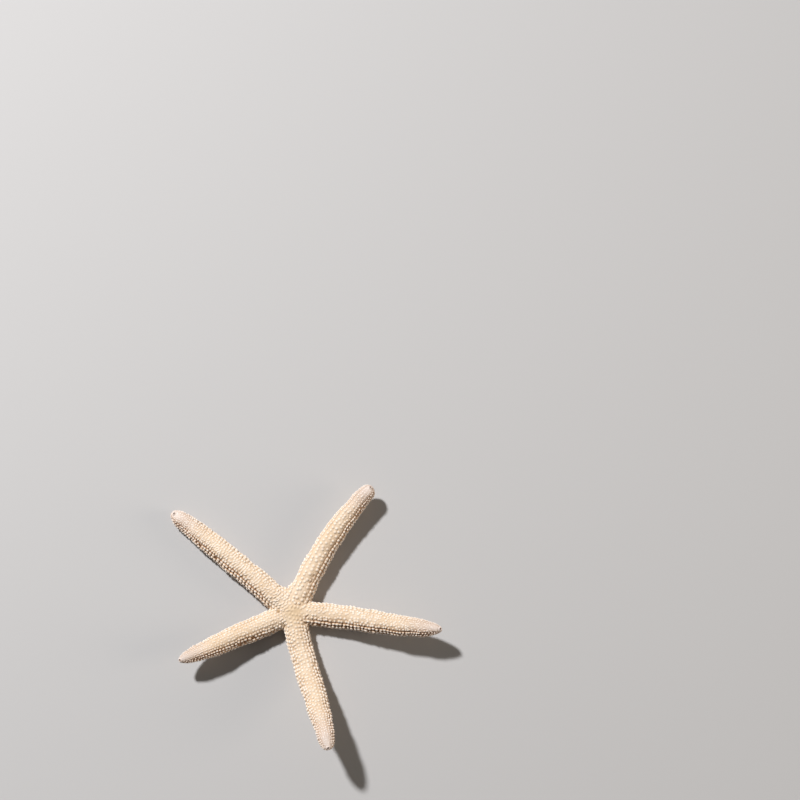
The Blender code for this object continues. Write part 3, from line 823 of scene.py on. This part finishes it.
def folded(points):
    """How deep each point lies in a crease or fold, up to about 1."""
    from_mouth = np.hypot(points[:, 0], points[:, 1])
    depth = np.zeros(len(points))
    for k, strength in enumerate(CREASES):
        angle = ROOT_ANGLES[k] + HALF_SECTORS[k]
        way = np.array([math.cos(angle), math.sin(angle)])
        off = np.abs(points[:, 0] * way[1] - points[:, 1] * way[0])
        ahead = points[:, :2] @ way > 0
        reach = smooth_step(from_mouth, CREASE_FROM, CREASE_FROM + CREASE_FADE)
        reach *= smooth_step(from_mouth, CREASE_TO, CREASE_TO - CREASE_FADE)
        depth = np.maximum(depth, strength * np.exp(-((off / CREASE_WIDTH) ** 2)) * reach * ahead)
    for start, end, width, deep in FOLDS:
        start, run = np.array(start), np.array(end) - np.array(start)
        along = np.clip((points[:, :2] - start) @ run / (run @ run), 0, 1)
        off = np.linalg.norm(points[:, :2] - start - along[:, None] * run, axis=1)
        depth = np.maximum(depth, deep / CREASE_DEPTH * np.exp(-((off / width) ** 2)))
    return depth


def dimpled(points):
    """1 in the middle of the sieve plate's dimple."""
    place = heading_vector(SIEVE_HEADING) * SIEVE_FROM_MOUTH
    off = np.hypot(points[:, 0] - place[0], points[:, 1] - place[1])
    return np.exp(-((off / DIMPLE_RADIUS) ** 4))


def underside_hollows(points, arm_of, reach_out, around):
    """How far up the grooves and the mouth press in."""
    girths = np.array([arm.girth for arm in ARMS])[arm_of]
    widths = np.empty(len(points))
    for k, arm in enumerate(ARMS):
        mine = arm_of == k
        widths[mine] = profile(arm, reach_out[mine])[1]
    across, _ = section_at(around)
    aside = np.abs(across) * widths
    groove = np.exp(-((aside / (GROOVE_WIDTH / 2 * girths)) ** 4)) * (widths / HALF_WIDTH)
    groove *= smooth_step(widths / HALF_WIDTH, *GROOVE_TAPER)
    from_mouth = np.hypot(points[:, 0], points[:, 1])
    angle = np.arctan2(points[:, 1], points[:, 0])
    off_arm = np.min([np.abs((angle - a + math.pi) % (2 * math.pi) - math.pi) for a in ROOT_ANGLES], axis=0)
    opening = JAW_RADIUS + (MOUTH_RADIUS - JAW_RADIUS) * np.exp(-((off_arm / JAW_SPREAD) ** 2))
    mouth = smooth_step(from_mouth / opening, *MOUTH_EDGE)
    return np.maximum(groove * GROOVE_DEPTH, mouth * MOUTH_DEPTH) * (np.abs(around) > BELOW)


def store(mesh, name, values):
    attribute = mesh.attributes.new(name, "FLOAT", "POINT")
    attribute.data.foreach_set("value", values.astype(np.float32))


# Turned pieces: the terminal plates and the sieve plate


def turned(name, radius, height_at, pit_at, steps=72, rings=30):
    """A surface turned round Z, closed below. Its height and pit share come from distance and angle."""
    out = radius * np.linspace(0, 1, rings + 1)[1:]
    round_way = np.linspace(0, 2 * math.pi, steps, endpoint=False)
    distance, angle = np.meshgrid(out, round_way, indexing="ij")
    height = height_at(distance, angle)
    grid = np.stack([distance * np.cos(angle), distance * np.sin(angle), height], axis=-1)
    skirt = grid[-1] * (1, 1, 0) + (0, 0, height.min() - SKIRT)
    middle = height_at(np.array([0.0]), np.array([0.0]))[0]
    points = np.concatenate([grid.reshape(-1, 3), skirt, [(0, 0, middle), (0, 0, skirt[0, 2])]])
    numbers = np.arange((rings + 1) * steps).reshape(rings + 1, steps)
    beyond = np.roll(numbers, -1, axis=1)
    quads = np.stack([numbers[:-1], numbers[1:], beyond[1:], beyond[:-1]], axis=-1).reshape(-1, 4)
    top, bottom = len(points) - 2, len(points) - 1
    caps = [np.stack([np.full(steps, top), numbers[0], beyond[0]], axis=-1)]
    caps.append(np.stack([np.full(steps, bottom), beyond[-1], numbers[-1]], axis=-1))
    mesh = mesh_from(name, points, quads, np.concatenate(caps))
    pits = np.zeros(len(points))
    pits[: distance.size] = pit_at(distance, angle).ravel()
    pits[top] = pit_at(np.array([0.0]), np.array([0.0]))[0]
    store(mesh, "pit", pits)
    piece = bpy.data.objects.new(name, mesh)
    bpy.context.scene.collection.objects.link(piece)
    return piece


def knob_frame(arm):
    """Where an arm's end faces as high as its knob does, and the ways to the left, up and out there."""
    end = np.array([tip_centre(arm)])
    along = unit(midline(arm, end + 0.2 * MM) - midline(arm, end - 0.2 * MM))[0]
    tilt = KNOB_ELEVATION - math.asin(along[2])
    thickness = tapered_half_width(arm, end[0]) * THICKNESS_RATIO
    place = np.array([profile_place(arm, math.atan2(arm.rounding, thickness * math.tan(tilt)))])
    left = unit(np.cross([0, 0, 1], along))
    out = along * math.cos(tilt) + np.cross(along, left) * math.sin(tilt)
    return tube(arm, place, np.array([0.0]))[0], left, np.cross(out, left), out


def knob_size(arm):
    """How large an arm's knob is beside that of a tip as wide as the widest."""
    return tapered_half_width(arm, tip_centre(arm)) / WIDEST_TIP


def from_a_knob(points):
    """How far each point is from the nearest knob's middle, in the knob's radii."""
    away = [np.linalg.norm(points - knob_frame(arm)[0], axis=1) / knob_size(arm) for arm in ARMS]
    return np.min(away, axis=0) / KNOB_RADIUS


def knob_pit(distance, angle):
    return np.exp(-((distance / KNOB_PIT) ** 4))


def knob_height(distance, angle):
    out = distance / KNOB_RADIUS
    crown = KNOB_HEIGHT * np.sqrt(1 - KNOB_ROUNDED * out**3)
    ring = KNOB_RING_HEIGHT * np.exp(-(((distance - KNOB_RING) / (0.3 * KNOB_RING)) ** 2))
    pit = KNOB_PIT_DEPTH * knob_pit(distance, angle)
    grain = KNOB_GRAIN * np.sin(11 * angle + 9 * out) * np.sin(17 * out) * smooth_step(out, 0.3, 0.6)
    return crown + ring - pit + grain


def sieve_grooves(distance, angle):
    out = distance / SIEVE_RADIUS
    grooves = 1 - np.abs(np.sin(SIEVE_GROOVES * angle / 2 + 2.2 * np.sin(3 * out))) ** 0.5
    return grooves * smooth_step(out, 0.1, 0.4)


def sieve_height(distance, angle):
    out = distance / SIEVE_RADIUS
    return SIEVE_CROWN * (1 - out**4) - SIEVE_GROOVE_DEPTH * sieve_grooves(distance, angle)


def dress(piece, node, material):
    piece.data.materials.append(material)
    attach(piece, "root")
    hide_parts(node)


def terminal_plates():
    material = knob_material()
    for arm in ARMS:
        piece = turned(f"terminal_{arm.name}", KNOB_RADIUS, knob_height, knob_pit)
        place, left, up, out = knob_frame(arm)
        foot = place - out * (KNOB_HEIGHT * knob_size(arm) - KNOB_PROUD) + MOUTH
        axes = np.stack([-left, up * THICKNESS_RATIO, out], axis=1) * knob_size(arm)
        piece.matrix_world = Matrix([[*axes[i], foot[i]] for i in range(3)] + [[0, 0, 0, 1]])
        dress(piece, f"terminal_plate_{arm.name}", material)


def sieve_plate():
    piece = turned("sieve", SIEVE_RADIUS, sieve_height, sieve_grooves)
    place = heading_vector(SIEVE_HEADING) * SIEVE_FROM_MOUTH
    above = settle(np.array([[place[0], place[1], AXIS_HEIGHT + HALF_WIDTH * THICKNESS_RATIO]]))[0]
    piece.location = Vector((place[0], place[1], above[2] - BASE_UNDER_CAD - DIMPLE_DEPTH)) + Vector(MOUTH)
    dress(piece, "sieve_plate", sieve_material())


# Materials


def shader_of(name):
    material = bpy.data.materials.new(name)
    material.use_nodes = True
    tree = material.node_tree
    return material, tree, tree.nodes["Principled BSDF"]


def attribute(tree, name):
    node = tree.nodes.new("ShaderNodeAttribute")
    node.attribute_name = name
    return node.outputs["Fac"]


def mixed(tree, factor, first, second):
    """A colour between two, each a colour or another node's output."""
    node = tree.nodes.new("ShaderNodeMix")
    node.data_type = "RGBA"
    sockets = [s for s in node.inputs if s.type == "RGBA"]
    for socket, value in zip(sockets, (first, second)):
        if isinstance(value, tuple):
            socket.default_value = (*value, 1)
        else:
            tree.links.new(value, socket)
    tree.links.new(factor, node.inputs["Factor"])
    return next(s for s in node.outputs if s.type == "RGBA")


def product(tree, first, second):
    """Two numbers multiplied, the second one a number or another node's output."""
    node = tree.nodes.new("ShaderNodeMath")
    node.operation = "MULTIPLY"
    for socket, value in zip(node.inputs, (first, second)):
        if isinstance(value, (int, float)):
            socket.default_value = value
        else:
            tree.links.new(value, socket)
    return node.outputs[0]


def noise(tree, grain, detail=3.0):
    """Noise whose patches are about grain metres wide."""
    place = tree.nodes.new("ShaderNodeTexCoord")
    node = tree.nodes.new("ShaderNodeTexNoise")
    node.inputs["Scale"].default_value = 1 / grain
    node.inputs["Detail"].default_value = detail
    node.inputs["Roughness"].default_value = NOISE_ROUGHNESS
    tree.links.new(place.outputs["Object"], node.inputs["Vector"])
    return node.outputs["Fac"]


def spread(tree, value, low, high, new_low=0.0, new_high=1.0):
    node = tree.nodes.new("ShaderNodeMapRange")
    node.inputs["From Min"].default_value = low
    node.inputs["From Max"].default_value = high
    node.inputs["To Min"].default_value = new_low
    node.inputs["To Max"].default_value = new_high
    tree.links.new(value, node.inputs["Value"])
    return node.outputs["Result"]


CREAM = (0.745, 0.585, 0.43)
WARM_CREAM = (0.805, 0.68, 0.55)
# Plate crowns: partly their own pale colour, partly painted highlight
PALE_BEAD_AND_HIGHLIGHT = (0.94, 0.88, 0.83)
# Painted highlight: whiter crowns on the side away from the key light
HIGHLIGHT_BEAD_WHITE = (0.97, 0.935, 0.90)
# Painted shade: the tan of the underside
UNDERSIDE_SHADE_TAN = (0.64, 0.41, 0.21)
# Painted shade: the tan of bead flanks on the side away from the key light
SHADE_SIDE_TAN = (0.58, 0.35, 0.16)
TOP_GAP = (0.70, 0.52, 0.345)
# Painted shade: the dark brown of gaps on the side away from the key light, and of folds and creases
SHADE_GAP_BROWN = (0.24, 0.064, 0.009)
TIP_PINK = (0.72, 0.63, 0.59)
TIP_GAP = (0.34, 0.19, 0.115)
DISC_YELLOW = (0.77, 0.60, 0.415)
DISC_MOTTLE = (0.62, 0.44, 0.26)
GRAIN_BROWN = (0.50, 0.34, 0.19)
PIT_BROWN = (0.13, 0.055, 0.02)
SIEVE_BROWN = (0.52, 0.36, 0.20)
SIEVE_GROOVE = (0.30, 0.17, 0.08)


# How wide the patches of each noise are, and how low and high it runs before it is spread from 0 to 1
NOISE_ROUGHNESS = 0.55
PATCHES = (6 * MM, 0.35, 0.65)
MOTTLES = (1.3 * MM, 0.42, 0.66)
GRAINS = (0.5 * MM, 0.3, 0.7)
KNOB_GRAINS = (0.3 * MM, 0.3, 0.7)
SKIN_BUMPS = 0.22 * MM
TURNED_BUMPS = 0.15 * MM
BUMP_DEPTH = 0.04 * MM

# How much of each colour shows where it is strongest
MOTTLE_SHARE = 0.45
SHADE_SIDE_TAN_SHARE = 0.5
GAP_SHARE = 0.9
GRAIN_SHARE = 0.12
TURNED_GRAIN_SHARE = 0.2


def spotted(tree, spots, share=1.0):
    """A noise spread from 0 to this share."""
    grain, low, high = spots
    return spread(tree, noise(tree, grain), low, high, 0.0, share)


def matte(tree, shader, grain):
    """A dull, finely grained surface."""
    shader.inputs["Roughness"].default_value = 0.78
    shader.inputs["Specular IOR Level"].default_value = 0.35
    bump = tree.nodes.new("ShaderNodeBump")
    bump.inputs["Strength"].default_value = 0.6
    bump.inputs["Distance"].default_value = BUMP_DEPTH
    tree.links.new(noise(tree, grain, detail=4.0), bump.inputs["Height"])
    tree.links.new(bump.outputs["Normal"], shader.inputs["Normal"])


def skin_material():
    material, tree, shader = shader_of("starfish_skin")
    bead, gap, side = (attribute(tree, name) for name in ("bead", "gap", "side"))
    tint, tip, middle, under = (attribute(tree, name) for name in ("tint", "tip", "middle", "under"))
    patches = spotted(tree, PATCHES)
    grains = spotted(tree, GRAINS)

    body = mixed(tree, patches, CREAM, WARM_CREAM)
    mottles = spotted(tree, MOTTLES, MOTTLE_SHARE)
    body = mixed(tree, middle, body, mixed(tree, mottles, DISC_YELLOW, DISC_MOTTLE))
    body = mixed(tree, tip, body, TIP_PINK)
    # Painted shade: bead flanks on the side away from the key light turn tan
    body = mixed(tree, product(tree, side, SHADE_SIDE_TAN_SHARE), body, SHADE_SIDE_TAN)
    # Painted shade: the underside turns tan
    body = mixed(tree, under, body, UNDERSIDE_SHADE_TAN)
    # Paler plate crowns, partly their own colour and partly painted highlight, whiter still on the side away
    # from the key light
    whiter = product(tree, spread(tree, bead, 0.2, 0.85), spread(tree, tint, 0, 1, 0.6, 1.1))
    colour = mixed(tree, whiter, body, mixed(tree, side, PALE_BEAD_AND_HIGHLIGHT, HIGHLIGHT_BEAD_WHITE))
    # Gaps between plates: their own ochre stain on top, painted shade brown where the shade-side share is
    # high
    gap_colour = mixed(tree, side, TOP_GAP, SHADE_GAP_BROWN)
    tip_share = product(tree, tip, spread(tree, side, 0, 1, 0.7, 0.15))
    gap_colour = mixed(tree, tip_share, gap_colour, TIP_GAP)
    colour = mixed(tree, product(tree, gap, GAP_SHARE), colour, gap_colour)
    colour = mixed(tree, product(tree, grains, GRAIN_SHARE), colour, GRAIN_BROWN)
    tree.links.new(colour, shader.inputs["Base Color"])
    matte(tree, shader, SKIN_BUMPS)
    return material


def turned_material(name, pit, rim):
    """A colour for the pit or the grooves, and one for the rest."""
    material, tree, shader = shader_of(name)
    colour = mixed(tree, attribute(tree, "pit"), rim, pit)
    grains = spotted(tree, KNOB_GRAINS)
    colour = mixed(tree, product(tree, grains, TURNED_GRAIN_SHARE), colour, GRAIN_BROWN)
    tree.links.new(colour, shader.inputs["Base Color"])
    matte(tree, shader, TURNED_BUMPS)
    return material


def knob_material():
    return turned_material("terminal_knob", PIT_BROWN, TIP_PINK)


def sieve_material():
    return turned_material("sieve", SIEVE_GROOVE, SIEVE_BROWN)


# The stage


def floor():
    bpy.ops.mesh.primitive_plane_add(size=FLOOR_SIZE, location=(0, 0, 0))
    plane = bpy.context.object
    plane.name = "floor"
    material, tree, shader = shader_of("floor")
    shader.inputs["Base Color"].default_value = (*FLOOR_GREY, 1)
    shader.inputs["Roughness"].default_value = FLOOR_ROUGHNESS
    plane.data.materials.append(material)


def aimed(thing, target):
    thing.rotation_euler = (Vector(target) - thing.location).to_track_quat("-Z", "Y").to_euler()


def area_light(lamp):
    data = bpy.data.lights.new(lamp.name, "AREA")
    data.shape = "DISK"
    data.size = lamp.size
    data.energy = lamp.power
    data.color = lamp.colour
    light = bpy.data.objects.new(lamp.name, data)
    bpy.context.scene.collection.objects.link(light)
    rise, turn = math.radians(lamp.elevation), math.radians(lamp.azimuth)
    way = Vector((math.cos(rise) * math.cos(turn), math.cos(rise) * math.sin(turn), math.sin(rise)))
    light.location = Vector(MOUTH) + way * lamp.distance
    aimed(light, MOUTH)


def lights():
    for lamp in LAMPS:
        area_light(lamp)
    world = bpy.data.worlds.new("studio")
    world.use_nodes = True
    background = world.node_tree.nodes["Background"]
    background.inputs["Color"].default_value = (*SKY_COLOUR, 1)
    background.inputs["Strength"].default_value = SKY_STRENGTH
    bpy.context.scene.world = world


def camera():
    data = bpy.data.cameras.new("camera")
    data.lens = LENS
    data.sensor_width = SENSOR
    eye = bpy.data.objects.new("camera", data)
    bpy.context.scene.collection.objects.link(eye)
    rise = math.radians(ELEVATION)
    target = Vector(MOUTH) + Vector((*FRAME_CENTRE_FROM_MOUTH, 0))
    eye.location = target + Vector((0, -math.cos(rise), math.sin(rise))) * DISTANCE
    eye.rotation_euler = (math.pi / 2 - rise, 0, 0)
    bpy.context.scene.camera = eye


def main():
    bpy.context.scene.view_settings.view_transform = "Standard"
    skin = build_skin()
    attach(skin, "root")
    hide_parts("disc", *[f"arm_{arm.name}" for arm in ARMS])
    terminal_plates()
    sieve_plate()
    floor()
    lights()
    camera()


main()
